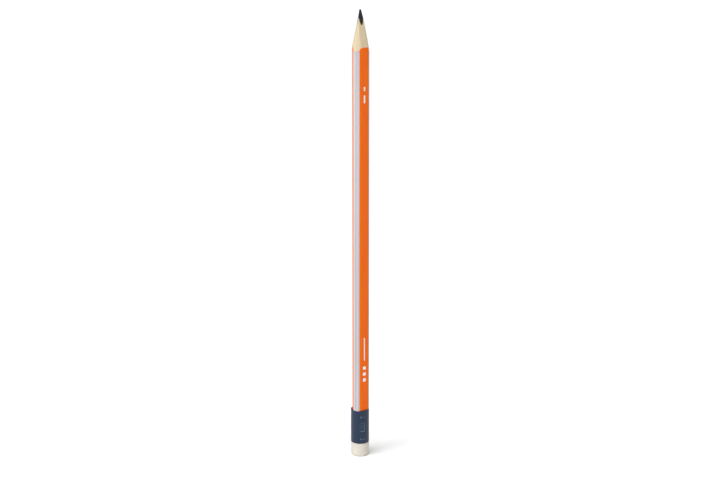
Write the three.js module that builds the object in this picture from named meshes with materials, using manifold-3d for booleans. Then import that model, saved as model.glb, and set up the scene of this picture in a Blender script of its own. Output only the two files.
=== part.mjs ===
// A graphite pencil with a rounded triangular wooden body, a painted metal ferrule and an eraser.
// Units are millimetres. The pencil's axis is +Z: the eraser's flat end is at z = 0 and the point is up.
// One rounded corner of the body faces +X, and the other two face 120 degrees either side of it.
import * as THREE from 'three';
import { mergeVertices } from 'three/addons/utils/BufferGeometryUtils.js';
import Module from 'manifold-3d';

const wasm = await Module();
wasm.setup();

// Lengths along the axis.
const PENCIL_LENGTH = 190;
const ERASER_SHOWING = 5.9;
const FERRULE_LENGTH = 14.5;
const TENON_LENGTH = 7.0;
const REST_GAP = 0.05;

// The body's section is a triangle grown outwards into a rounded one: its corner arcs have their centres
// CORNER_REACH from the axis, and the outermost arc, over a stripe, has the radius CORNER_ROUND.
const CORNER_REACH = 1.25;
const CORNER_ROUND = 2.55;

// The films on the wood, and the hair of space left between two of them.
const STRIPE_THICKNESS = 0.03;
const LACQUER_THICKNESS = 0.06;
const FILM_GAP = 0.015;
const STRIPE_HALF_ANGLE = THREE.MathUtils.degToRad(32);
const STRIPE_STEPS = 12;

// White foil stamped on one face: plain bars, each with the height of its middle, its length and its width.
const FOIL_THICKNESS = 0.02;
const FOIL_BARS = [
  [34.0, 1.4, 1.4],
  [36.6, 1.4, 1.4],
  [39.2, 1.4, 1.4],
  [47.5, 10.0, 0.5],
  [153.8, 3.2, 0.7],
  [158.0, 1.7, 0.7],
];

// The graphite core and the groove that it is glued in.
const CORE_RADIUS = 1.25;
const GLUE_GAP = 0.02;

// The sharpened end. Its mean radius grows evenly from the blunt point. It has three flat facets, and the
// corners between them are turned round: hardly at the core, and more and more towards the lacquer. A
// corner's turned radius is the mean radius and a margin. A rounded triangle's mean radius is its rounding
// and MEAN_REACH_SHARE of its reach.
const POINT_RADIUS = 0.3;
const CONE_SLOPE = 0.205;
const CONE_REACH = 1.3;
const MEAN_REACH_SHARE = 0.75;
const TURNED_MARGIN_AT_CORE = 0.4;
const TURNED_MARGIN_AT_BODY = 0.03;
const TURNED_BLEND = 0.15;
const BODY_MEAN_RADIUS = 3.46;
const CONE_RINGS = 6;
const POINT_RINGS = 6;

// The ferrule's tube, whose upper rim is pressed in onto the wood, and its crimps: four long panels at
// mid-height and small dimples near both ends.
const FERRULE_RADIUS = 3.8;
const FERRULE_WALL = 0.3;
const FERRULE_EDGE = 0.12;
const RIM_HEIGHT = 0.6;
const TENON_RADIUS = 3.42;
const CRIMP_COUNT = 4;
const CRIMP_DEPTH = 0.12;
const FIRST_CRIMP_ANGLE = THREE.MathUtils.degToRad(-80);
const PANEL_HALF_ANGLE = THREE.MathUtils.degToRad(14);
const PANEL_BOTTOM = 5.4;
const PANEL_TOP = 9.1;
const DIMPLE_OFFSET_ANGLE = THREE.MathUtils.degToRad(10);
const DIMPLE_HALF_ANGLE = THREE.MathUtils.degToRad(6);
const DIMPLE_HALF_HEIGHT = 0.45;
const DIMPLE_FROM_EDGE = 2.3;

// The eraser: the end that shows is nearly as wide as the ferrule, and the rest is squeezed inside it.
const ERASER_RADIUS = 3.75;
const ERASER_PLUG_RADIUS = 3.45;
const ERASER_EDGE_ROUND = 0.8;
const ERASER_EDGE_STEPS = 5;

const SEGMENTS = 72;
const CORNERS = 3;
const CORNER_STEP = (2 * Math.PI) / CORNERS;
const FACE_ANGLE = CORNER_STEP / 2;

const SHOULDER = ERASER_SHOWING + FERRULE_LENGTH + REST_GAP;
const TENON_BOTTOM = SHOULDER - TENON_LENGTH;
const ERASER_TOP = TENON_BOTTOM - REST_GAP;
const LACQUER_ROUND = CORNER_ROUND - STRIPE_THICKNESS - FILM_GAP;
const WOOD_ROUND = LACQUER_ROUND - LACQUER_THICKNESS - FILM_GAP;
const GROOVE_RADIUS = CORE_RADIUS + GLUE_GAP;

// Radius of a rounded triangle at an angle about the axis.
function sectionRadius(angle, reach, round) {
  const fromCorner = Math.abs(angle - CORNER_STEP * Math.round(angle / CORNER_STEP));
  const fromFace = FACE_ANGLE - fromCorner;
  const faceDistance = reach * Math.cos(FACE_ANGLE) + round;
  if (faceDistance * Math.tan(fromFace) <= reach * Math.sin(FACE_ANGLE)) {
    return faceDistance / Math.cos(fromFace);
  }
  const across = reach * Math.sin(fromCorner);
  return reach * Math.cos(fromCorner) + Math.sqrt(round * round - across * across);
}

// Radius of the sharpened end at a distance below the point.
function coneRadius(belowPoint, angle) {
  const mean = POINT_RADIUS + CONE_SLOPE * belowPoint;
  const reach = CONE_REACH * Math.min(1, mean / CORE_RADIUS);
  const faceted = sectionRadius(angle, reach, mean - MEAN_REACH_SHARE * reach);
  const alongWood = Math.max(0, (mean - CORE_RADIUS) / (BODY_MEAN_RADIUS - CORE_RADIUS));
  const turnedRound = mean + THREE.MathUtils.lerp(TURNED_MARGIN_AT_CORE, TURNED_MARGIN_AT_BODY, alongWood);
  const blend = Math.max(0, TURNED_BLEND - Math.abs(faceted - turnedRound));
  return Math.min(faceted, turnedRound) - (blend * blend) / (4 * TURNED_BLEND);
}

// Distance below the point where the sharpened end is as wide as the given radius.
function belowPointWhere(radius, angle) {
  let near = 0;
  let far = PENCIL_LENGTH / 4;
  while (far - near > 1e-6) {
    const middle = (near + far) / 2;
    if (coneRadius(middle, angle) < radius) {
      near = middle;
    } else {
      far = middle;
    }
  }
  return (near + far) / 2;
}

// Points along the sharpened end, from one distance below the point up to another.
function conePoints(from, to, rings, angle) {
  const points = [];
  for (let ring = 0; ring <= rings; ring += 1) {
    const belowPoint = THREE.MathUtils.lerp(from, to, ring / rings);
    points.push(new THREE.Vector2(coneRadius(belowPoint, angle), PENCIL_LENGTH - belowPoint));
  }
  return points;
}

// Joins the vertices that lie together and drops the triangles that have closed up.
function cleaned(geometry) {
  geometry.deleteAttribute('normal');
  geometry.deleteAttribute('uv');
  const merged = mergeVertices(geometry, 1e-4);
  const corners = Array.from(merged.index.array);
  const kept = [];
  for (let i = 0; i < corners.length; i += 3) {
    const [a, b, c] = corners.slice(i, i + 3);
    if (a !== b && b !== c && c !== a) {
      kept.push(a, b, c);
    }
  }
  merged.setIndex(kept);
  return merged;
}

// A lathe about +Z whose profile changes with the angle. profileAt gives points (radius, z), the outside
// going up, that start and end on the axis or close on themselves.
function turned(profileAt, segments = SEGMENTS) {
  const geometry = new THREE.LatheGeometry(profileAt(0), segments);
  const position = geometry.getAttribute('position');
  let vertex = 0;
  for (let step = 0; step <= segments; step += 1) {
    const angle = (2 * Math.PI * (step % segments)) / segments;
    for (const point of profileAt(angle)) {
      position.setXYZ(vertex, point.x * Math.cos(angle), point.x * Math.sin(angle), point.y);
      vertex += 1;
    }
  }
  return cleaned(geometry);
}

function toManifold(geometry) {
  const solid = geometry.index ? geometry : cleaned(geometry);
  return new wasm.Manifold(new wasm.Mesh({
    numProp: 3,
    vertProperties: new Float32Array(solid.getAttribute('position').array),
    triVerts: new Uint32Array(solid.index.array),
  }));
}

function fromManifold(manifold) {
  const mesh = manifold.getMesh();
  const geometry = new THREE.BufferGeometry();
  geometry.setAttribute('position', new THREE.BufferAttribute(new Float32Array(mesh.vertProperties), 3));
  geometry.setIndex(Array.from(mesh.triVerts));
  return geometry;
}

const pencil = new THREE.Group();

function addPiece(name, geometry, color, roughness, metalness = 0) {
  geometry.computeVertexNormals();
  const material = new THREE.MeshStandardMaterial({ color, roughness, metalness, flatShading: true });
  const mesh = new THREE.Mesh(geometry, material);
  mesh.name = name;
  pencil.add(mesh);
  return mesh;
}

// Graphite core: a rod from the tenon's end up to the border with the wood, then the blunt point.
function coreProfile(angle) {
  return [
    new THREE.Vector2(0, TENON_BOTTOM),
    new THREE.Vector2(CORE_RADIUS, TENON_BOTTOM),
    ...conePoints(belowPointWhere(CORE_RADIUS, angle), 0, POINT_RINGS, angle),
    new THREE.Vector2(0, PENCIL_LENGTH),
  ];
}
addPiece('graphite_core', turned(coreProfile), 0x2d3139, 0.4, 0.3);

// Radius of the casing's end inside the ferrule: the corners are turned down and the flats stay flat.
function tenonRadius(angle) {
  return Math.min(TENON_RADIUS, sectionRadius(angle, CORNER_REACH, WOOD_ROUND) - GLUE_GAP);
}

// Wood casing: the tenon, the body and the cone.
function casingProfile(angle) {
  const body = sectionRadius(angle, CORNER_REACH, WOOD_ROUND);
  const tenon = tenonRadius(angle);
  const groove = new THREE.Vector2(GROOVE_RADIUS, TENON_BOTTOM);
  return [
    groove,
    new THREE.Vector2(tenon, TENON_BOTTOM),
    new THREE.Vector2(tenon, SHOULDER),
    new THREE.Vector2(body, SHOULDER),
    ...conePoints(belowPointWhere(body, angle), belowPointWhere(GROOVE_RADIUS, angle), CONE_RINGS, angle),
    groove,
  ];
}

// Two slats glued round the core. The glue line is parallel to one face, and the front slat is the one
// with a whole corner in it.
const casing = toManifold(turned(casingProfile));
const slats = [['casing_slat_front', -CORNER_STEP], ['casing_slat_back', -CORNER_STEP + Math.PI]];
for (const [name, facing] of slats) {
  const side = 4 * FERRULE_RADIUS;
  const keep = new THREE.BoxGeometry(side, side, 2 * PENCIL_LENGTH);
  keep.translate((side + GLUE_GAP) / 2, 0, PENCIL_LENGTH / 2);
  keep.rotateZ(facing);
  addPiece(name, fromManifold(casing.intersect(toManifold(cleaned(keep)))), 0xe6cfa0, 0.7);
}

// Orange lacquer: a sleeve all round the wood, cut back with it at the cone.
function lacquerProfile(angle) {
  const inside = sectionRadius(angle, CORNER_REACH, WOOD_ROUND + FILM_GAP);
  const outside = sectionRadius(angle, CORNER_REACH, LACQUER_ROUND);
  const bottom = new THREE.Vector2(inside, SHOULDER);
  return [
    bottom,
    new THREE.Vector2(outside, SHOULDER),
    new THREE.Vector2(outside, PENCIL_LENGTH - belowPointWhere(outside, angle)),
    new THREE.Vector2(inside, PENCIL_LENGTH - belowPointWhere(inside, angle)),
    bottom,
  ];
}
addPiece('lacquer_coat', turned(lacquerProfile), 0xe65f0c, 0.3);

// Silver stripe: a strip over the middle of one corner, its top cut along the cone.
function stripe(cornerAngle) {
  const centreX = CORNER_REACH * Math.cos(cornerAngle);
  const centreY = CORNER_REACH * Math.sin(cornerAngle);
  const from = cornerAngle - STRIPE_HALF_ANGLE;
  const to = cornerAngle + STRIPE_HALF_ANGLE;
  const section = new THREE.Shape();
  section.absarc(centreX, centreY, CORNER_ROUND, from, to, false);
  section.absarc(centreX, centreY, CORNER_ROUND - STRIPE_THICKNESS, to, from, true);
  section.closePath();
  const geometry = new THREE.ExtrudeGeometry(section, {
    depth: 1,
    bevelEnabled: false,
    curveSegments: STRIPE_STEPS,
  });
  const position = geometry.getAttribute('position');
  for (let i = 0; i < position.count; i += 1) {
    const x = position.getX(i);
    const y = position.getY(i);
    const top = PENCIL_LENGTH - belowPointWhere(Math.hypot(x, y), Math.atan2(y, x));
    position.setZ(i, position.getZ(i) > 0 ? top : SHOULDER);
  }
  return cleaned(geometry);
}
for (let corner = 0; corner < CORNERS; corner += 1) {
  addPiece(`silver_stripe_${corner + 1}`, stripe(corner * CORNER_STEP), 0xcfcdd0, 0.35, 0.4);
}

// Foil bars: they lie on the flat of the face between the first corner and the last.
const foilRadius = CORNER_REACH * Math.cos(FACE_ANGLE) + LACQUER_ROUND + FILM_GAP + FOIL_THICKNESS / 2;
FOIL_BARS.forEach(([height, length, width], index) => {
  const geometry = cleaned(new THREE.BoxGeometry(FOIL_THICKNESS, width, length));
  const bar = addPiece(`foil_bar_${index + 1}`, geometry, 0xf6f3ee, 0.35);
  bar.position.set(foilRadius * Math.cos(FACE_ANGLE), -foilRadius * Math.sin(FACE_ANGLE), height);
  bar.rotation.z = -FACE_ANGLE;
});

// How deep the ferrule is crimped at an angle and a height above its bottom edge.
function crimpDepth(angle, height) {
  const pitch = (2 * Math.PI) / CRIMP_COUNT;
  const turns = (angle - FIRST_CRIMP_ANGLE) / pitch;
  const across = Math.abs(turns - Math.round(turns)) * pitch;
  const onPanel = across <= PANEL_HALF_ANGLE && height >= PANEL_BOTTOM && height <= PANEL_TOP;
  const fromEnd = Math.min(height, FERRULE_LENGTH - height);
  const onDimple = Math.abs(across - DIMPLE_OFFSET_ANGLE) <= DIMPLE_HALF_ANGLE
    && Math.abs(fromEnd - DIMPLE_FROM_EDGE) < DIMPLE_HALF_HEIGHT / 2;
  return onPanel || onDimple ? CRIMP_DEPTH : 0;
}

// Ferrule: a thin tube with its edges eased, crimped from outside.
function ferruleProfile(angle) {
  const inside = FERRULE_RADIUS - FERRULE_WALL;
  const heights = [FERRULE_EDGE];
  for (const middle of [DIMPLE_FROM_EDGE, FERRULE_LENGTH - DIMPLE_FROM_EDGE]) {
    heights.push(middle - DIMPLE_HALF_HEIGHT, middle, middle + DIMPLE_HALF_HEIGHT);
  }
  for (const edge of [PANEL_BOTTOM, PANEL_TOP]) {
    heights.push(edge - FERRULE_WALL / 2, edge + FERRULE_WALL / 2);
  }
  heights.push(FERRULE_LENGTH - FERRULE_EDGE);
  heights.sort((a, b) => a - b);
  const outside = heights.map((height) => new THREE.Vector2(
    FERRULE_RADIUS - crimpDepth(angle, height),
    ERASER_SHOWING + height,
  ));
  const bottom = new THREE.Vector2(inside, ERASER_SHOWING);
  return [
    bottom,
    new THREE.Vector2(FERRULE_RADIUS - FERRULE_EDGE, ERASER_SHOWING),
    ...outside,
    new THREE.Vector2(FERRULE_RADIUS - FERRULE_EDGE, ERASER_SHOWING + FERRULE_LENGTH),
    new THREE.Vector2(tenonRadius(angle) + GLUE_GAP, ERASER_SHOWING + FERRULE_LENGTH),
    new THREE.Vector2(inside, ERASER_SHOWING + FERRULE_LENGTH - RIM_HEIGHT),
    bottom,
  ];
}
addPiece('ferrule', turned(ferruleProfile), 0x2c3a4c, 0.45, 0.6);

// Eraser: a round plug. Its flat end has a softly rounded edge, and a step where the ferrule squeezes it.
function eraserProfile() {
  const points = [new THREE.Vector2(0, 0)];
  for (let step = 0; step <= ERASER_EDGE_STEPS; step += 1) {
    const turn = (step / ERASER_EDGE_STEPS) * (Math.PI / 2);
    points.push(new THREE.Vector2(
      ERASER_RADIUS - ERASER_EDGE_ROUND * (1 - Math.sin(turn)),
      ERASER_EDGE_ROUND * (1 - Math.cos(turn)),
    ));
  }
  const step = ERASER_SHOWING - REST_GAP;
  points.push(
    new THREE.Vector2(ERASER_RADIUS, step),
    new THREE.Vector2(ERASER_PLUG_RADIUS, step),
    new THREE.Vector2(ERASER_PLUG_RADIUS, ERASER_TOP),
    new THREE.Vector2(0, ERASER_TOP),
  );
  return points;
}
addPiece('eraser', turned(eraserProfile), 0xe4dfd3, 0.85);

export default pencil;
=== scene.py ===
"""The looks of a graphite pencil with a rounded triangular body, a ferrule and an eraser.

Every piece is a fine mesh that stands for one plain CAD node, in the frame's own metres: the axis is +Z,
the eraser's flat end is at z = 0 and the point is up.
"""
import math
import random

import bmesh
import bpy
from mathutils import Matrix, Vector, noise


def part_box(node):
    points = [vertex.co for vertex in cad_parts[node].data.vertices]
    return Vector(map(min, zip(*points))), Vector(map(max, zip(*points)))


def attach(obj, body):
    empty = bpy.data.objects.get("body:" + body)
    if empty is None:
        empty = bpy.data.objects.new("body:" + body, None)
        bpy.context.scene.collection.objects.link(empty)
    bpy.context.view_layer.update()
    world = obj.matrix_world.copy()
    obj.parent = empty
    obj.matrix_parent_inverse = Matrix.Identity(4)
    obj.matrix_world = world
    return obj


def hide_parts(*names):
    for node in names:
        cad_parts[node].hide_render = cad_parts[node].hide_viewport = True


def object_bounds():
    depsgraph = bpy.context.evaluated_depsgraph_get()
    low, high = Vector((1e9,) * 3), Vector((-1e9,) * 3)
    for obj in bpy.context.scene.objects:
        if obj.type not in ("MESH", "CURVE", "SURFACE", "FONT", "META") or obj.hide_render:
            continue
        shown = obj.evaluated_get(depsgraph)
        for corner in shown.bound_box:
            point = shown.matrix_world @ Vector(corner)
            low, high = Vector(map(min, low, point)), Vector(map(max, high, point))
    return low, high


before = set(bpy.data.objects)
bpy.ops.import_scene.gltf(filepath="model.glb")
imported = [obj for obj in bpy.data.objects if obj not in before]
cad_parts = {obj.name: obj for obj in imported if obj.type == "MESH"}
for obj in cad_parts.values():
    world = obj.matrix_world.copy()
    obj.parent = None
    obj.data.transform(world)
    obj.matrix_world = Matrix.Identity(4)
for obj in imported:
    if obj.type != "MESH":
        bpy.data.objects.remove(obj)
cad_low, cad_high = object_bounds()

MM = 0.001
TURN = 2 * math.pi
QUARTER_TURN = math.pi / 2

# ---------------------------------------------------------------- sizes from the frame
core_low, core_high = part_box("graphite_core")
lacquer_low, lacquer_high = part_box("lacquer_coat")
ferrule_low, ferrule_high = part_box("ferrule")
stripe_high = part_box("silver_stripe_1")[1]
eraser_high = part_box("eraser")[1]

POINT = core_high.z
TENON_BOTTOM = core_low.z
SHOULDER = lacquer_low.z
PLUG_TOP = eraser_high.z
CORE_RADIUS = core_high.x
ERASER_RADIUS = eraser_high.x
FERRULE_RADIUS = ferrule_high.x
FERRULE_BOTTOM, FERRULE_TOP = ferrule_low.z, ferrule_high.z
FERRULE_LENGTH = FERRULE_TOP - FERRULE_BOTTOM

# The body's section is a triangle grown outwards. CORNER_REACH is how far the triangle's corners are from
# the axis, and each film on the wood has its own radius of rounding. One corner is on +X and one face is
# across -X, so the lacquer reaches the whole of CORNER_REACH one way and half of it the other.
CORNERS = 3
CORNER_STEP = TURN / CORNERS
FACE_ANGLE = CORNER_STEP / 2
CORNER_REACH = 2 * (lacquer_high.x + lacquer_low.x)
LACQUER_ROUND = lacquer_high.x - CORNER_REACH
STRIPE_ROUND = stripe_high.x - CORNER_REACH
LACQUER_THICKNESS = 0.06 * MM
FOIL_THICKNESS = 0.02 * MM
FILM_GAP = 0.01 * MM
WOOD_ROUND = LACQUER_ROUND - LACQUER_THICKNESS - FILM_GAP

# A stripe's edges, as an angle about its corner's own centre and as one about the pencil's axis.
STRIPE_HALF_ANGLE = math.radians(32)
STRIPE_EDGE_ANGLE = math.atan2(STRIPE_ROUND * math.sin(STRIPE_HALF_ANGLE),
                               CORNER_REACH + STRIPE_ROUND * math.cos(STRIPE_HALF_ANGLE))

# ---------------------------------------------------------------- other sizes
# The sharpened end: its mean radius grows evenly from the blunt point. It has three flat facets, and the
# corners between them are turned round, hardly at the core and more and more towards the lacquer. A
# rounded triangle's mean radius is its rounding and MEAN_REACH_SHARE of its reach.
POINT_RADIUS = 0.3 * MM
POINT_DOME = 0.3 * MM
CONE_SLOPE = 0.205
CONE_REACH = 1.3 * MM
MEAN_REACH_SHARE = 0.75
TURNED_MARGIN_AT_CORE = 0.4 * MM
TURNED_MARGIN_AT_BODY = 0.03 * MM
TURNED_BLEND = 0.15 * MM
BODY_MEAN_RADIUS = 3.46 * MM

# The casing's two slats: the groove, the tenon, and the half-width of the glue line as an angle.
GROOVE_RADIUS = CORE_RADIUS + FILM_GAP
TENON_RADIUS = 3.42 * MM
GLUE_ANGLE = 0.004

# Under a stripe the lacquer's top is lowered by TUCK. The lowering fades out at the stripe's edges, over
# TUCK_FADE and up to TUCK_END, both as shares of the way from a stripe's middle to its edge.
TUCK = 0.2 * MM
TUCK_END = 1.03
TUCK_FADE = 0.05

# The ferrule, and its crimps: long panels with a ridge down the middle, pairs of triangular dents near
# both ends, and a shallow bead near each rim.
FERRULE_WALL = 0.3 * MM
FERRULE_EDGE = 0.13 * MM
RIM_HEIGHT = 0.6 * MM
CRIMP_COUNT = 4
CRIMP_DEPTH = 0.24 * MM
FIRST_CRIMP_ANGLE = math.radians(-80)
PANEL_RIDGE_WIDTH = 0.3 * MM
PANEL_RIDGE_SHARE = 0.5
PANEL_HALF_WIDTH = 0.95 * MM
PANEL_HALF_HEIGHT = 1.85 * MM
PANEL_CORNER = 0.35 * MM
PANEL_SLOPE = 0.2 * MM
DENT_FROM_MIDDLE = 0.62 * MM
DENT_HALF_WIDTH = 0.56 * MM
DENT_HEIGHT = 1.25 * MM
DENT_SLOPE = 0.26 * MM
DENT_FROM_EDGE = 2.3 * MM
BEAD_FROM_EDGE = 0.75 * MM
BEAD_HALF_WIDTH = 0.2 * MM
BEAD_DEPTH = 0.02 * MM

ERASER_PLUG_RADIUS = 3.45 * MM
ERASER_EDGE_ROUND = 0.8 * MM
ERASER_TO_FERRULE = 0.05 * MM

# Edges between faces that meet more sharply than this stay crisp, and points nearer than WELD are one.
CREASE_ANGLE = math.radians(35)
WELD = 1e-5 * MM


# ---------------------------------------------------------------- shapes
def lerp(a, b, t):
    """The value a share t of the way from a to b."""
    return a + (b - a) * t


def smooth(t):
    """Rises from 0 to 1 with soft ends."""
    t = min(max(t, 0.0), 1.0)
    return t * t * (3 - 2 * t)


def section_radius(angle, reach, rounding):
    """Radius of a rounded triangle at an angle about the axis."""
    from_corner = abs(angle - CORNER_STEP * round(angle / CORNER_STEP))
    from_face = FACE_ANGLE - from_corner
    face_distance = reach * math.cos(FACE_ANGLE) + rounding
    if face_distance * math.tan(from_face) <= reach * math.sin(FACE_ANGLE):
        return face_distance / math.cos(from_face)
    across = reach * math.sin(from_corner)
    return reach * math.cos(from_corner) + math.sqrt(rounding ** 2 - across ** 2)


def cone_radius(below_point, angle):
    """Radius of the sharpened end at a distance below the point."""
    mean = POINT_RADIUS + CONE_SLOPE * below_point
    reach = CONE_REACH * min(1.0, mean / CORE_RADIUS)
    faceted = section_radius(angle, reach, mean - MEAN_REACH_SHARE * reach)
    along_wood = max(0.0, (mean - CORE_RADIUS) / (BODY_MEAN_RADIUS - CORE_RADIUS))
    turned_round = mean + lerp(TURNED_MARGIN_AT_CORE, TURNED_MARGIN_AT_BODY, along_wood)
    blend = max(0.0, TURNED_BLEND - abs(faceted - turned_round))
    return min(faceted, turned_round) - blend ** 2 / (4 * TURNED_BLEND)


def below_point_where(radius, angle):
    """Distance below the point where the sharpened end is as wide as the radius."""
    near, far = 0.0, 40 * MM
    while far - near > 1e-4 * MM:
        middle = (near + far) / 2
        if cone_radius(middle, angle) < radius:
            near = middle
        else:
            far = middle
    return (near + far) / 2


def cut_height(radius, angle):
    """Height at which the sharpened end cuts through a radius."""
    return POINT - below_point_where(radius, angle)


def tenon_radius(angle):
    """Radius of the casing's end inside the ferrule."""
    return min(TENON_RADIUS, section_radius(angle, CORNER_REACH, WOOD_ROUND) - 2 * FILM_GAP)


def noise_round(angle, height, waves=1.0):
    """Noise from -1 to 1 round the pencil. More waves make it change faster with the angle, and the height
    is counted in features of the noise, or is a seed where the noise has no height."""
    return noise.noise(Vector((waves * math.cos(angle), waves * math.sin(angle), height)))


def fibre(x, y, z, across, along, seed=0.0):
    """Noise from -1 to 1 with features drawn out down the pencil."""
    return noise.noise(Vector((x / across, y / across, z / along + seed)))


def edge_wander(angle):
    """How far the cut edge of the lacquer wanders up or down."""
    return 0.05 * MM * noise_round(angle, 1.0, 5) + 0.03 * MM * noise_round(angle, 2.0, 22)


def border_wander(angle):
    """How far the wood's border with the graphite wanders up or down."""
    return 0.07 * MM * noise_round(angle, 5.0, 14) + 0.05 * MM * noise_round(angle, 6.0, 50)


def add_piece(name, points, faces, node, look):
    """Makes a piece from a mesh, in place of a CAD node."""
    mesh = bpy.data.meshes.new(name)
    mesh.from_pydata(points, [], faces)
    work = bmesh.new()
    work.from_mesh(mesh)
    bmesh.ops.remove_doubles(work, verts=work.verts, dist=WELD)
    bmesh.ops.recalc_face_normals(work, faces=work.faces)
    work.to_mesh(mesh)
    work.free()
    mesh.shade_smooth()
    mesh.set_sharp_from_angle(angle=CREASE_ANGLE)
    mesh.materials.append(look)
    piece = bpy.data.objects.new(name, mesh)
    bpy.context.scene.collection.objects.link(piece)
    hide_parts(node)
    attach(piece, "root")
    return piece


def turned(profile_at, steps):
    """Points and faces of a shape turned about the axis, whose profile (radius, z) changes with the angle."""
    points, faces = [], []
    for step in range(steps):
        angle = TURN * step / steps
        profile = profile_at(angle)
        points += [(r * math.cos(angle), r * math.sin(angle), z) for r, z in profile]
    rows = len(profile)
    for step in range(steps):
        here, there = step * rows, (step + 1) % steps * rows
        for row in range(rows - 1):
            faces.append((here + row, there + row, there + row + 1, here + row + 1))
    return points, faces


def lofted(loops):
    """Points and faces of a solid through closed loops of points. Each loop runs out along one side and
    back along the other, so the first and last are closed by a strip from side to side."""
    count = len(loops[0])
    points = [point for loop in loops for point in loop]
    faces = []
    for loop in range(len(loops) - 1):
        here, there = loop * count, (loop + 1) * count
        for i in range(count):
            j = (i + 1) % count
            faces.append((here + i, here + j, there + j, there + i))
    for start in (0, (len(loops) - 1) * count):
        for i in range(count // 2 - 1):
            back = count - 1 - i
            faces.append((start + i, start + i + 1, start + back - 1, start + back))
    return points, faces


# ---------------------------------------------------------------- materials
class Look:
    """A procedural material, built node by node round one Principled shader. Its colour is a ground with
    layers painted over it. Sockets are named by keyword, with _ for a space."""

    def __init__(self, name, roughness, **sockets):
        self.material = bpy.data.materials.new(name)
        self.material.use_nodes = True
        self.tree = self.material.node_tree
        self.shader = self.tree.nodes["Principled BSDF"]
        self.shader.inputs["Roughness"].default_value = roughness
        for socket, value in sockets.items():
            self.shader.inputs[socket.replace("_", " ")].default_value = value

    def node(self, kind, **inputs):
        """A new node, with each input set to a number or linked to a socket."""
        made = self.tree.nodes.new(kind)
        for socket, value in inputs.items():
            self.feed(made.inputs[socket.replace("_", " ")], value)
        return made

    def feed(self, socket, value):
        """Sets an input to a number, or links it to a socket."""
        if isinstance(value, bpy.types.NodeSocket):
            self.tree.links.new(value, socket)
        else:
            socket.default_value = value

    def drive(self, socket, value):
        """Links a value that changes over the surface into the shader."""
        self.tree.links.new(value, self.shader.inputs[socket])

    def place(self, across, along, offset=0.0):
        """The point in the object, measured in features that are across wide and along long."""
        spot = self.node("ShaderNodeTexCoord").outputs["Object"]
        scale = (1 / across, 1 / across, 1 / along)
        return self.node("ShaderNodeMapping", Vector=spot, Location=(offset,) * 3, Scale=scale).outputs[0]

    def height(self):
        """Height up the pencil in metres."""
        spot = self.node("ShaderNodeTexCoord").outputs["Object"]
        return self.node("ShaderNodeSeparateXYZ", Vector=spot).outputs["Z"]

    def attribute(self, name):
        """A number kept on the mesh."""
        made = self.node("ShaderNodeAttribute")
        made.attribute_name = name
        return made.outputs["Fac"]

    def grain(self, across, along, detail=2.0, offset=0.0, roughness=0.5):
        """Noise from 0 to 1 with features drawn out along the pencil."""
        made = self.node("ShaderNodeTexNoise", Vector=self.place(across, along, offset), Scale=1.0,
                         Detail=detail, Roughness=roughness)
        return made.outputs["Fac"]

    def specks(self, spacing, along, size, share, offset=0.0):
        """1 in small spots with soft edges, 0 elsewhere: a share of the cells hold one."""
        cells = self.node("ShaderNodeTexVoronoi", Vector=self.place(spacing, along, offset), Scale=1.0)
        spot = self.rise(cells.outputs["Distance"], size, size * 0.6)
        chosen = self.rise(self.red(cells.outputs["Color"]), 1 - share, 1 - share + 0.01)
        return self.times(spot, chosen)

    def rings(self, per_mm, along, distortion):
        """Wavy lines from 0 to 1, like growth rings where a cut runs along them."""
        made = self.node("ShaderNodeTexWave", Vector=self.place(1 * MM, along, 0.3), Scale=per_mm,
                         Distortion=distortion, Detail=2.0, Detail_Scale=0.7)
        return self.red(made.outputs["Color"])

    def red(self, colour):
        """The red part of a colour, as a number."""
        return self.node("ShaderNodeSeparateColor", Color=colour).outputs["Red"]

    def math(self, operation, a, b):
        """One sum on two values over the surface."""
        made = self.tree.nodes.new("ShaderNodeMath")
        made.operation = operation
        self.feed(made.inputs[0], a)
        self.feed(made.inputs[1], b)
        return made.outputs[0]

    def times(self, a, b):
        return self.math("MULTIPLY", a, b)

    def most(self, a, b):
        return self.math("MAXIMUM", a, b)

    def remap(self, value, low, high, to_low, to_high):
        """to_low where a value is at low or past it, to_high where it is at high or past it."""
        made = self.tree.nodes.new("ShaderNodeMapRange")
        for socket, amount in zip(made.inputs[:5], (value, low, high, to_low, to_high)):
            self.feed(socket, amount)
        return made.outputs[0]

    def rise(self, value, low, high, top=1.0):
        """0 where a value is at low, and top where it is at high, which may be the lower of the two."""
        return self.remap(value, low, high, 0.0, top)

    def mix(self, share, a, b):
        """A colour that is a where the share is 0 and b where it is 1."""
        made = self.tree.nodes.new("ShaderNodeMix")
        made.data_type = "RGBA"
        for socket, amount in zip((made.inputs[0], made.inputs[6], made.inputs[7]), (share, a, b)):
            self.feed(socket, (*amount, 1.0) if isinstance(amount, tuple) else amount)
        return made.outputs[2]

    def ground(self, share, a, b):
        """Starts the colour as a mixture of two."""
        self.colour = self.mix(share, a, b)
        self.drive("Base Color", self.colour)

    def paint(self, share, colour):
        """Paints a colour over what is there, as strongly as the share."""
        self.ground(share, self.colour, colour)

    def bump(self, *layers):
        """Stacks layers of relief, each a pattern from 0 to 1 and how many metres it stands up."""
        normal = None
        for height, depth in layers:
            made = self.node("ShaderNodeBump", Height=height, Distance=depth)
            if normal:
                self.feed(made.inputs["Normal"], normal)
            normal = made.outputs["Normal"]
        self.drive("Normal", normal)


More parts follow.
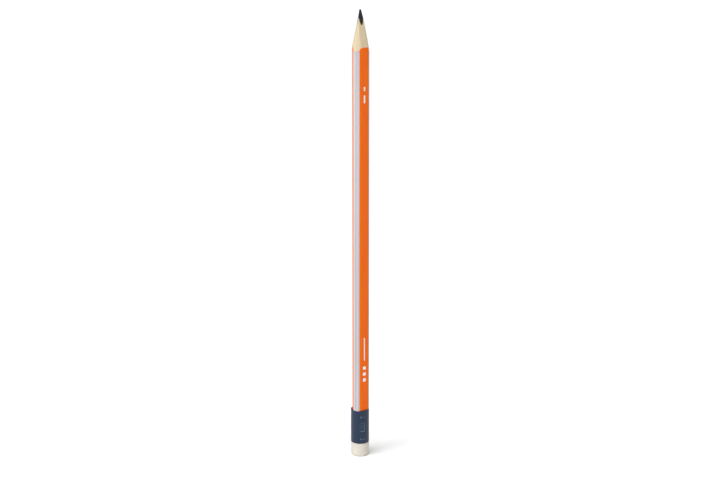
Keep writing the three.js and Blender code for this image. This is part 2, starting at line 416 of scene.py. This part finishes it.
def orange_lacquer():
    """Gloss lacquer drawn on down the body, with faint streaks, orange peel and a little dust."""
    orange, light_orange = (0.90, 0.135, 0.0), (0.97, 0.175, 0.0)
    deep_orange, dust_brown = (0.79, 0.09, 0.0), (0.25, 0.06, 0.02)
    look = Look("orange_lacquer", 0.3, Specular_IOR_Level=0.05, Coat_Weight=0.2, Coat_Roughness=0.06)
    mottle = look.grain(2.5 * MM, 14 * MM)
    drawn = look.grain(0.35 * MM, 30 * MM, offset=3)
    peel = look.grain(0.5 * MM, 0.8 * MM, offset=9)
    dust = look.specks(4 * MM, 4 * MM, 0.035, 0.12)
    look.ground(mottle, orange, light_orange)
    look.paint(look.rise(drawn, 0.35, 0.75, 0.25), deep_orange)
    look.paint(look.times(dust, 0.6), dust_brown)
    look.drive("Roughness", look.remap(mottle, 0.3, 0.7, 0.24, 0.34))
    look.bump((drawn, 0.006 * MM), (peel, 0.004 * MM))
    return look.material


def silver_stripe():
    """Silver paint rolled on down a corner: fine lines, broad darker bands and metal flake. The grey of the
    lines and the darker bands are partly painted reflection.
    """
    grey, silver = (0.47, 0.46, 0.48), (0.74, 0.74, 0.77)
    dark_band_and_reflection, flake_white, dull = (0.345, 0.335, 0.355), (0.82, 0.82, 0.85), (0.50, 0.49, 0.51)
    look = Look("silver_stripe", 0.38, Metallic=0.35, Coat_Weight=0.25, Coat_Roughness=0.15)
    lines = look.grain(0.3 * MM, 110 * MM)
    bands = look.grain(0.8 * MM, 300 * MM, 1, offset=8)
    flake = look.grain(0.06 * MM, 0.09 * MM, 1, offset=5)
    mottle = look.grain(1.5 * MM, 12 * MM, offset=2)
    # The grey between the fine lines is partly rolled paint and partly painted reflection.
    look.ground(look.rise(lines, 0.36, 0.64), grey, silver)
    # Partly painted reflection: broad darker bands down the stripe.
    look.paint(look.rise(bands, 0.44, 0.58, 0.5), dark_band_and_reflection)
    look.paint(look.rise(flake, 0.5, 0.8, 0.3), flake_white)
    look.paint(look.rise(mottle, 0.4, 0.8, 0.2), dull)
    look.drive("Roughness", look.remap(flake, 0.3, 0.8, 0.32, 0.48))
    look.bump((lines, 0.008 * MM), (flake, 0.002 * MM))
    return look.material


def bare_wood():
    """Pale wood with fine streaks, faint growth rings and short dark pores."""
    cream, light_cream = (0.66, 0.545, 0.355), (0.74, 0.63, 0.435)
    streak_brown, ring_brown, pore_brown = (0.58, 0.42, 0.225), (0.58, 0.40, 0.21), (0.45, 0.30, 0.15)
    look = Look("bare_wood", 0.72)
    broad = look.grain(1.1 * MM, 26 * MM, offset=4)
    streak = look.grain(0.16 * MM, 9 * MM, 3, roughness=0.6)
    rings = look.rings(0.42, 24 * MM, 2.5)
    pores = look.specks(0.11 * MM, 1.1 * MM, 0.3, 0.16, offset=7)
    look.ground(look.rise(broad, 0.3, 0.7), cream, light_cream)
    look.paint(look.rise(streak, 0.42, 0.8, 0.6), streak_brown)
    look.paint(look.rise(rings, 0.75, 1.0, 0.16), ring_brown)
    look.paint(look.times(pores, 0.35), pore_brown)
    look.drive("Roughness", look.remap(streak, 0.3, 0.8, 0.62, 0.82))
    look.bump((streak, 0.03 * MM), (pores, -0.015 * MM))
    return look.material


def graphite():
    """Dark grey with a soft shine and streaks of painted sheen, ground round the point and drawn down the
    core.
    """
    black, dark_grey, painted_sheen_grey = (0.008, 0.010, 0.018), (0.026, 0.030, 0.046), (0.060, 0.072, 0.098)
    look = Look("graphite", 0.36, Metallic=0.15, Specular_IOR_Level=0.35)
    ground = look.grain(1.6 * MM, 0.06 * MM, 3, roughness=0.65)
    drawn = look.grain(0.14 * MM, 1.6 * MM, offset=11)
    patches = look.grain(0.5 * MM, 0.9 * MM, offset=6)
    look.ground(patches, black, dark_grey)
    # Painted sheen: a lighter blue-grey laid on the drawn streaks.
    look.paint(look.rise(drawn, 0.55, 0.8, 0.5), painted_sheen_grey)
    look.drive("Roughness", look.remap(patches, 0.3, 0.7, 0.27, 0.46))
    look.bump((ground, 0.02 * MM), (drawn, 0.012 * MM), (patches, 0.02 * MM))
    return look.material


def navy_ferrule():
    """Navy paint over metal, with a painted highlight where the metal bends, and chipped there and at the
    rims.
    """
    deep_navy, navy = (0.007, 0.022, 0.054), (0.018, 0.040, 0.080)
    painted_highlight_navy, bare_metal = (0.11, 0.165, 0.235), (0.36, 0.39, 0.43)
    look = Look("navy_ferrule", 0.38, Specular_IOR_Level=0.22, Coat_Weight=0.18, Coat_Roughness=0.18)
    cloud = look.grain(1.6 * MM, 2.2 * MM)
    peel = look.grain(0.22 * MM, 0.3 * MM, offset=15)
    chips = look.rise(look.grain(0.22 * MM, 0.22 * MM, 3, offset=8), 0.54, 0.68)
    scuffs = look.rise(look.grain(0.1 * MM, 1.0 * MM, offset=12), 0.74, 0.82, 0.25)
    from_bottom = look.math("SUBTRACT", look.height(), FERRULE_BOTTOM)
    from_top = look.math("SUBTRACT", FERRULE_TOP, look.height())
    at_rim = look.remap(look.math("MINIMUM", from_bottom, from_top), 0.0, 0.16 * MM, 0.35, 0.0)
    bend = look.attribute("bend")
    at_bend = look.rise(bend, 0.3, 1.0, 0.5)
    worn = look.most(look.times(look.most(at_rim, at_bend), chips), scuffs)
    look.ground(cloud, deep_navy, navy)
    # Painted highlight: a paler blue where the crimps bend, standing in for light caught on their edges.
    look.paint(look.rise(bend, 0.1, 0.9, 0.6), painted_highlight_navy)
    look.paint(worn, bare_metal)
    look.drive("Metallic", worn)
    look.drive("Roughness", look.remap(cloud, 0.3, 0.7, 0.36, 0.5))
    look.bump((peel, 0.012 * MM))
    return look.material


def vinyl_eraser():
    """Off-white and matte. Smudges, rubbed patches and a smear of orange gather at its end, with crumbs."""
    warm_white, light_white = (0.70, 0.65, 0.57), (0.76, 0.715, 0.64)
    dirt_grey, rubbed_grey, crumb_grey = (0.44, 0.41, 0.36), (0.30, 0.29, 0.28), (0.36, 0.34, 0.32)
    smear_orange = (0.80, 0.28, 0.10)
    look = Look("vinyl_eraser", 0.82, Subsurface_Weight=0.12, Subsurface_Scale=0.6 * MM)
    cloud = look.grain(2.2 * MM, 2.2 * MM, 3)
    skin = look.grain(0.14 * MM, 0.14 * MM, 3, offset=9)
    smudges = look.rise(look.grain(1.3 * MM, 0.9 * MM, 3, offset=5), 0.58, 0.82)
    rubs = look.rise(look.grain(0.5 * MM, 0.35 * MM, 3, offset=21), 0.55, 0.72, 0.4)
    smears = look.rise(look.grain(1.7 * MM, 1.1 * MM, offset=33), 0.70, 0.78, 0.45)
    crumbs = look.specks(0.6 * MM, 0.6 * MM, 0.1, 0.16, offset=3)
    towards_end = look.remap(look.height(), 0.2 * MM, 2.6 * MM, 0.75, 0.12)
    at_end = look.remap(look.height(), 0.3 * MM, 1.5 * MM, 1.0, 0.0)
    look.ground(cloud, warm_white, light_white)
    look.paint(look.times(smudges, towards_end), dirt_grey)
    look.paint(look.times(rubs, at_end), rubbed_grey)
    look.paint(look.times(smears, towards_end), smear_orange)
    look.paint(look.times(crumbs, 0.35), crumb_grey)
    look.drive("Roughness", look.remap(cloud, 0.3, 0.7, 0.76, 0.9))
    look.bump((skin, 0.012 * MM), (crumbs, -0.02 * MM))
    return look.material


def white_foil():
    """Stamped foil, worn through to the lacquer in small patches."""
    white, worn_orange = (0.90, 0.89, 0.86), (0.80, 0.30, 0.10)
    look = Look("white_foil", 0.34, Metallic=0.15)
    wear = look.rise(look.grain(0.16 * MM, 0.3 * MM), 0.66, 0.72, 0.7)
    look.ground(wear, white, worn_orange)
    look.drive("Roughness", look.remap(wear, 0.0, 1.0, 0.3, 0.5))
    return look.material


# ---------------------------------------------------------------- pieces
def graphite_core():
    """A rod from the tenon's end up to the border with the wood, then the blunt point."""
    steps, rings, hidden_rings = 180, 70, 4
    crowding_to_point = 1.15
    grind_depth, grind_spacing, grind_waves = 0.008, 0.12 * MM, 0.7
    chip_depth, chip_spacing, chip_seed = 0.03, 0.8 * MM, 20

    def profile(angle):
        border = below_point_where(CORE_RADIUS, angle)
        hidden = [i / hidden_rings for i in range(hidden_rings)]
        points = [(0.0, TENON_BOTTOM)]
        points += [(CORE_RADIUS, lerp(TENON_BOTTOM, POINT - border, share)) for share in hidden]
        for ring in range(rings + 1):
            below = border * (1 - ring / rings) ** crowding_to_point
            radius = cone_radius(below, angle)
            if below < POINT_DOME:
                radius *= math.sqrt(1 - (1 - below / POINT_DOME) ** 2)
            grind = grind_depth * noise_round(angle, below / grind_spacing, grind_waves)
            chip = chip_depth * noise_round(angle, below / chip_spacing + chip_seed)
            points.append((min(radius * (1 + grind + chip), CORE_RADIUS), POINT - below))
        return points

    points, faces = turned(profile, steps)
    add_piece("core_graphite", points, faces, "graphite_core", graphite())


def casing_slat(name, node, facing, look):
    """Half of the casing: the tenon, the body under the lacquer and half the cone, grooved for the core."""
    steps, rings, body_rings = 220, 130, 12
    fine_relief, fine_width, fine_length = 0.016 * MM, 0.13 * MM, 7 * MM
    broad_relief, broad_width, broad_length, broad_seed = 0.012 * MM, 0.9 * MM, 20 * MM, 30
    fade_in, fade_out = 25, 12
    loops = []
    for step in range(steps + 1):
        angle = facing + lerp(-QUARTER_TURN + GLUE_ANGLE, QUARTER_TURN - GLUE_ANGLE, step / steps)
        body, tenon = section_radius(angle, CORNER_REACH, WOOD_ROUND), tenon_radius(angle)
        low, high = below_point_where(body, angle), below_point_where(GROOVE_RADIUS, angle)
        outer = [(tenon, TENON_BOTTOM), (tenon, SHOULDER)]
        outer += [(body, lerp(SHOULDER, POINT - low, i / body_rings)) for i in range(body_rings)]
        for ring in range(rings + 1):
            share = ring / rings
            below = lerp(low, high, share)
            radius, height = cone_radius(below, angle), POINT - below
            x, y = radius * math.cos(angle), radius * math.sin(angle)
            relief = fine_relief * fibre(x, y, height, fine_width, fine_length)
            relief += broad_relief * fibre(x, y, height, broad_width, broad_length, broad_seed)
            outer.append((radius + relief * min(1.0, share * fade_in, (1 - share) * fade_out), height))
        outer[-1] = (GROOVE_RADIUS, outer[-1][1] + border_wander(angle))
        inner = [(GROOVE_RADIUS, z) for r, z in outer]
        loops.append([(r * math.cos(angle), r * math.sin(angle), z) for r, z in outer + inner[::-1]])
    points, faces = lofted(loops)
    add_piece(name, points, faces, node, look)


def tuck(angle):
    """How far the lacquer's top is lowered to let the stripe's own cut edge cover it."""
    stripe_share = abs(math.remainder(angle, CORNER_STEP)) / STRIPE_EDGE_ANGLE
    return TUCK * smooth((TUCK_END - stripe_share) / TUCK_FADE)


def lacquer():
    """A sleeve round the wood, cut back with it at the cone, with ripples and a few shallow dents."""
    steps, rings, lip = 240, 150, 0.02 * MM
    ripple_depth, ripples_per_metre = 0.004 * MM, 60
    dent_count, dent_depth, dent_stretch = 16, 0.02 * MM, 2
    dice = random.Random(11)
    dents = [(dice.uniform(0, TURN), dice.uniform(SHOULDER, POINT - 20 * MM), dice.uniform(0.3, 0.8) * MM)
             for _ in range(dent_count)]

    def dented(radius, angle, height):
        depth = 0.0
        for dent_angle, dent_height, size in dents:
            across = math.remainder(angle - dent_angle, TURN) * radius
            away = math.hypot(across, (height - dent_height) / dent_stretch) / size
            depth += dent_depth * smooth(1 - away)
        return radius - depth

    def profile(angle):
        inside = section_radius(angle, CORNER_REACH, WOOD_ROUND + FILM_GAP)
        outside = section_radius(angle, CORNER_REACH, LACQUER_ROUND)
        top = cut_height(outside, angle) + edge_wander(angle) - tuck(angle)
        points = [(inside, SHOULDER), (outside - lip, SHOULDER)]
        for ring in range(rings + 1):
            height = lerp(SHOULDER + lip, top, ring / rings)
            ripple = ripple_depth * noise_round(angle, height * ripples_per_metre)
            points.append((dented(outside, angle, height) + ripple, height))
        points += [(inside, cut_height(inside, angle) - tuck(angle)), (inside, SHOULDER)]
        return points

    points, faces = turned(profile, steps)
    add_piece("coat_orange_lacquer", points, faces, "lacquer_coat", orange_lacquer())


def stripe(number, corner, look):
    """A strip of silver paint over one rounded corner. At its top it runs in over the cut to the wood."""
    arc_steps, rings = 28, 150
    edge_wobble, edge_waves, edge_seed = 0.02, 14, 3
    stripe_seed = number * 7
    under, wood = LACQUER_ROUND + FILM_GAP, WOOD_ROUND + FILM_GAP

    def side(rounding, share, lower=0.0):
        points = []
        for i in range(arc_steps + 1):
            across = 2 * i / arc_steps - 1
            place = Vector((stripe_seed + math.copysign(edge_seed, across), share * edge_waves, 0.0))
            turn = corner + STRIPE_HALF_ANGLE * across * (1 + edge_wobble * noise.noise(place))
            x = CORNER_REACH * math.cos(corner) + rounding * math.cos(turn)
            y = CORNER_REACH * math.sin(corner) + rounding * math.sin(turn)
            angle = math.atan2(y, x)
            top = cut_height(math.hypot(x, y), angle) + edge_wander(angle) - lower
            points.append((x, y, lerp(SHOULDER, top, share)))
        return points

    loops = []
    for ring in range(rings + 1):
        share = ring / rings
        loops.append(side(STRIPE_ROUND, share) + side(under, share, TUCK / 2)[::-1])
    loops.append(side(lerp(STRIPE_ROUND, wood, 0.5), 1.0) + side(wood, 1.0, TUCK / 2)[::-1])
    loops.append(side(wood, 1.0) + side(wood, 1.0, TUCK / 2)[::-1])
    points, faces = lofted(loops)
    name = f"silver_stripe_{number}"
    add_piece(f"paint_{name}", points, faces, name, look)


def foil_bar(node, look):
    """A thin stamped bar with rounded corners, on the flat of one face."""
    corner_steps, corner_share = 5, 0.25
    low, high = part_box(node)
    middle = (low + high) / 2
    facing = Vector((math.cos(FACE_ANGLE), -math.sin(FACE_ANGLE), 0))
    along_face = Vector((math.sin(FACE_ANGLE), math.cos(FACE_ANGLE), 0))
    half_long = (high.z - low.z) / 2
    half_wide = (high.y - low.y) / 2 / math.cos(FACE_ANGLE) - FOIL_THICKNESS / 2 * math.tan(FACE_ANGLE)
    corner = corner_share * half_wide
    rim = []
    for quarter, (side_x, side_z) in enumerate([(1, 1), (-1, 1), (-1, -1), (1, -1)]):
        for step in range(corner_steps + 1):
            turn = QUARTER_TURN * (quarter + step / corner_steps)
            across = side_x * (half_wide - corner) + corner * math.cos(turn)
            up = side_z * (half_long - corner) + corner * math.sin(turn)
            rim.append(middle + along_face * across + Vector((0, 0, up)))
    count = len(rim)
    points = [tuple(p + facing * FOIL_THICKNESS * side) for side in (-0.5, 0.5) for p in rim]
    faces = [tuple(reversed(range(count))), tuple(range(count, 2 * count))]
    faces += [(i, (i + 1) % count, count + (i + 1) % count, count + i) for i in range(count)]
    add_piece(f"stamped_{node}", points, faces, node, look)


def rounded_box_distance(across, up, half_wide, half_high, corner):
    """Distance outside a rounded rectangle, negative inside it."""
    x, y = abs(across) - half_wide + corner, abs(up) - half_high + corner
    return math.hypot(max(x, 0.0), max(y, 0.0)) + min(max(x, y), 0.0) - corner


def triangle_distance(across, up):
    """Distance outside a dent's triangle, negative inside it. Its point is up and up = 0 is its middle."""
    slant = math.hypot(DENT_HALF_WIDTH, DENT_HEIGHT)
    side = (abs(across) * DENT_HEIGHT + (up - DENT_HEIGHT / 2) * DENT_HALF_WIDTH) / slant
    return max(side, -DENT_HEIGHT / 2 - up)


def crimp_depth(angle, height):
    """How deep the ferrule is pressed in at an angle and a height above its lower edge."""
    across = math.remainder(angle - FIRST_CRIMP_ANGLE, TURN / CRIMP_COUNT) * FERRULE_RADIUS
    off_panel = rounded_box_distance(across, height - FERRULE_LENGTH / 2,
                                     PANEL_HALF_WIDTH, PANEL_HALF_HEIGHT, PANEL_CORNER)
    ridge = PANEL_RIDGE_SHARE * math.exp(-(across / PANEL_RIDGE_WIDTH) ** 2)
    pressed = smooth(0.5 - off_panel / PANEL_SLOPE) * (1 - ridge)
    for middle in (DENT_FROM_EDGE, FERRULE_LENGTH - DENT_FROM_EDGE):
        for lean in (-DENT_FROM_MIDDLE, DENT_FROM_MIDDLE):
            pressed = max(pressed, smooth(-triangle_distance(across - lean, height - middle) / DENT_SLOPE))
    from_end = min(height, FERRULE_LENGTH - height)
    bead = smooth(1 - abs(from_end - BEAD_FROM_EDGE) / BEAD_HALF_WIDTH)
    return CRIMP_DEPTH * pressed + BEAD_DEPTH * bead


def mark_bends(piece):
    """Keeps on a ferrule's mesh how steeply its surface is pressed in, from 0 to 1."""
    step = 0.05 * MM
    turn = step / FERRULE_RADIUS
    bend = piece.data.attributes.new("bend", "FLOAT", "POINT")
    for vertex, mark in zip(piece.data.vertices, bend.data):
        angle, height = math.atan2(vertex.co.y, vertex.co.x), vertex.co.z - FERRULE_BOTTOM
        around = crimp_depth(angle + turn, height) - crimp_depth(angle - turn, height)
        upwards = crimp_depth(angle, height + step) - crimp_depth(angle, height - step)
        mark.value = min(1.0, math.hypot(around, upwards) / (2 * step))


def ferrule():
    """A crimped tube with eased edges. Its upper rim is pressed in onto the wood."""
    steps, rings, edge_steps = 320, 200, 6
    wave_depth, waves_per_metre, waves = 0.006 * MM, 300, 2
    rim_ease = 0.05 * MM
    inside = FERRULE_RADIUS - FERRULE_WALL
    turns = [QUARTER_TURN * step / edge_steps for step in range(edge_steps)]
    eased = [(FERRULE_EDGE * (1 - math.sin(turn)), FERRULE_EDGE * (1 - math.cos(turn))) for turn in turns]

    def profile(angle):
        points = [(inside, FERRULE_BOTTOM)]
        points += [(FERRULE_RADIUS - inwards, FERRULE_BOTTOM + up) for inwards, up in eased]
        for ring in range(rings + 1):
            height = lerp(FERRULE_EDGE, FERRULE_LENGTH - FERRULE_EDGE, ring / rings)
            wave = wave_depth * noise_round(angle, height * waves_per_metre, waves)
            points.append((FERRULE_RADIUS - crimp_depth(angle, height) + wave, FERRULE_BOTTOM + height))
        points += [(FERRULE_RADIUS - inwards, FERRULE_TOP - down) for inwards, down in reversed(eased)]
        lip = tenon_radius(angle) + 2 * FILM_GAP
        points += [(lip + rim_ease, FERRULE_TOP), (lip, FERRULE_TOP - rim_ease)]
        points += [(inside, FERRULE_TOP - RIM_HEIGHT), (inside, FERRULE_BOTTOM)]
        return points

    points, faces = turned(profile, steps)
    mark_bends(add_piece("tube_ferrule", points, faces, "ferrule", navy_ferrule()))


def eraser():
    """A round plug: a flat end with a rounded edge, slightly lumpy sides and a step at the ferrule."""
    steps, edge_steps, side_rings, end_rings = 160, 14, 36, 12
    lump_depth, lump_height, lump_waves = 0.02 * MM, 2.5 * MM, 1.6
    shoulder_drop, shoulder_inset = 0.15 * MM, 0.12 * MM
    step_height = FERRULE_BOTTOM - ERASER_TO_FERRULE
    flat = ERASER_RADIUS - ERASER_EDGE_ROUND

    def lumpy(radius, angle, height):
        return radius + lump_depth * (noise_round(angle, height / lump_height, lump_waves) - 1)

    def profile(angle):
        points = [(flat * i / end_rings, 0.0) for i in range(end_rings)]
        for step in range(edge_steps + 1):
            turn = QUARTER_TURN * step / edge_steps
            height = ERASER_EDGE_ROUND * (1 - math.cos(turn))
            points.append((lumpy(flat + ERASER_EDGE_ROUND * math.sin(turn), angle, height), height))
        for ring in range(1, side_rings + 1):
            height = lerp(ERASER_EDGE_ROUND, step_height - shoulder_drop, ring / side_rings)
            points.append((lumpy(ERASER_RADIUS, angle, height), height))
        points += [(ERASER_RADIUS - shoulder_inset, step_height), (ERASER_PLUG_RADIUS, step_height),
                   (ERASER_PLUG_RADIUS, PLUG_TOP), (0.0, PLUG_TOP)]
        return points

    points, faces = turned(profile, steps)
    add_piece("plug_eraser", points, faces, "eraser", vinyl_eraser())


wood, silver, foil = bare_wood(), silver_stripe(), white_foil()
graphite_core()
casing_slat("slat_front", "casing_slat_front", -CORNER_STEP, wood)
casing_slat("slat_back", "casing_slat_back", -CORNER_STEP + math.pi, wood)
lacquer()
for index in range(CORNERS):
    stripe(index + 1, index * CORNER_STEP, silver)
for node in sorted(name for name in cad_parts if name.startswith("foil_bar_")):
    foil_bar(node, foil)
ferrule()
eraser()


# ---------------------------------------------------------------- studio
def studio_floor():
    """A wide pale floor at the eraser's end."""
    half = 12.0
    mesh = bpy.data.meshes.new("studio_floor")
    corners = [(-half, -half), (half, -half), (half, half), (-half, half)]
    mesh.from_pydata([(x, y, cad_low.z) for x, y in corners], [], [(0, 1, 2, 3)])
    look = Look("studio_floor", 0.9, Base_Color=(0.93, 0.93, 0.93, 1.0))
    mesh.materials.append(look.material)
    floor = bpy.data.objects.new("studio_floor", mesh)
    bpy.context.scene.collection.objects.link(floor)


def direction(azimuth, elevation):
    """From the pencil towards a camera or light: azimuth 0 is on the -Y side, 90 on the +X side."""
    a, e = math.radians(azimuth), math.radians(elevation)
    return Vector((math.sin(a) * math.cos(e), -math.cos(a) * math.cos(e), math.sin(e)))


def aimed(name, data, target_height, azimuth, elevation, distance):
    """Puts a camera or light at a distance from a point on the pencil's axis, and aims it there."""
    away = direction(azimuth, elevation)
    made = bpy.data.objects.new(name, data)
    made.location = Vector((0.0, 0.0, target_height)) + away * distance
    made.rotation_euler = (-away).to_track_quat("-Z", "Y").to_euler()
    bpy.context.scene.collection.objects.link(made)
    return made


def softbox(name, azimuth, elevation, distance, size, watts):
    """A square soft light aimed at the middle of the pencil."""
    data = bpy.data.lights.new(name, "AREA")
    data.shape = "SQUARE"
    data.size = size
    data.energy = watts
    aimed(name, data, POINT / 2, azimuth, elevation, distance)


def overhead_sun():
    """Even light from high up, so that the whole floor is white and the shadow is soft."""
    data = bpy.data.lights.new("overhead_sun", "SUN")
    data.energy = 3.35
    data.angle = math.radians(50)
    aimed("overhead_sun", data, POINT, azimuth=-35, elevation=72, distance=1.0)


def camera():
    """Looks a little down on the pencil, which fills the height of the picture."""
    data = bpy.data.cameras.new("camera")
    data.sensor_width = 36.0
    data.lens = 116.0
    made = aimed("camera", data, POINT * 0.495, azimuth=-5, elevation=17, distance=0.95)
    bpy.context.scene.camera = made


def surroundings():
    """A white room that the camera sees as white and that lights the pencil more softly."""
    strength_as_light, strength_as_seen = 0.12, 1.0
    world = bpy.data.worlds.new("studio")
    world.use_nodes = True
    nodes, links = world.node_tree.nodes, world.node_tree.links
    background = nodes["Background"]
    background.inputs["Color"].default_value = (1.0, 1.0, 1.0, 1.0)
    seen = nodes.new("ShaderNodeLightPath").outputs["Is Camera Ray"]
    strength = nodes.new("ShaderNodeMapRange")
    links.new(seen, strength.inputs["Value"])
    strength.inputs["To Min"].default_value = strength_as_light
    strength.inputs["To Max"].default_value = strength_as_seen
    links.new(strength.outputs["Result"], background.inputs["Strength"])
    bpy.context.scene.world = world
    bpy.context.scene.view_settings.view_transform = "Standard"


studio_floor()
overhead_sun()
softbox("key_light", azimuth=-60, elevation=30, distance=0.8, size=0.3, watts=1.5)
softbox("rim_light", azimuth=75, elevation=20, distance=0.9, size=0.3, watts=0.35)
camera()
surroundings()
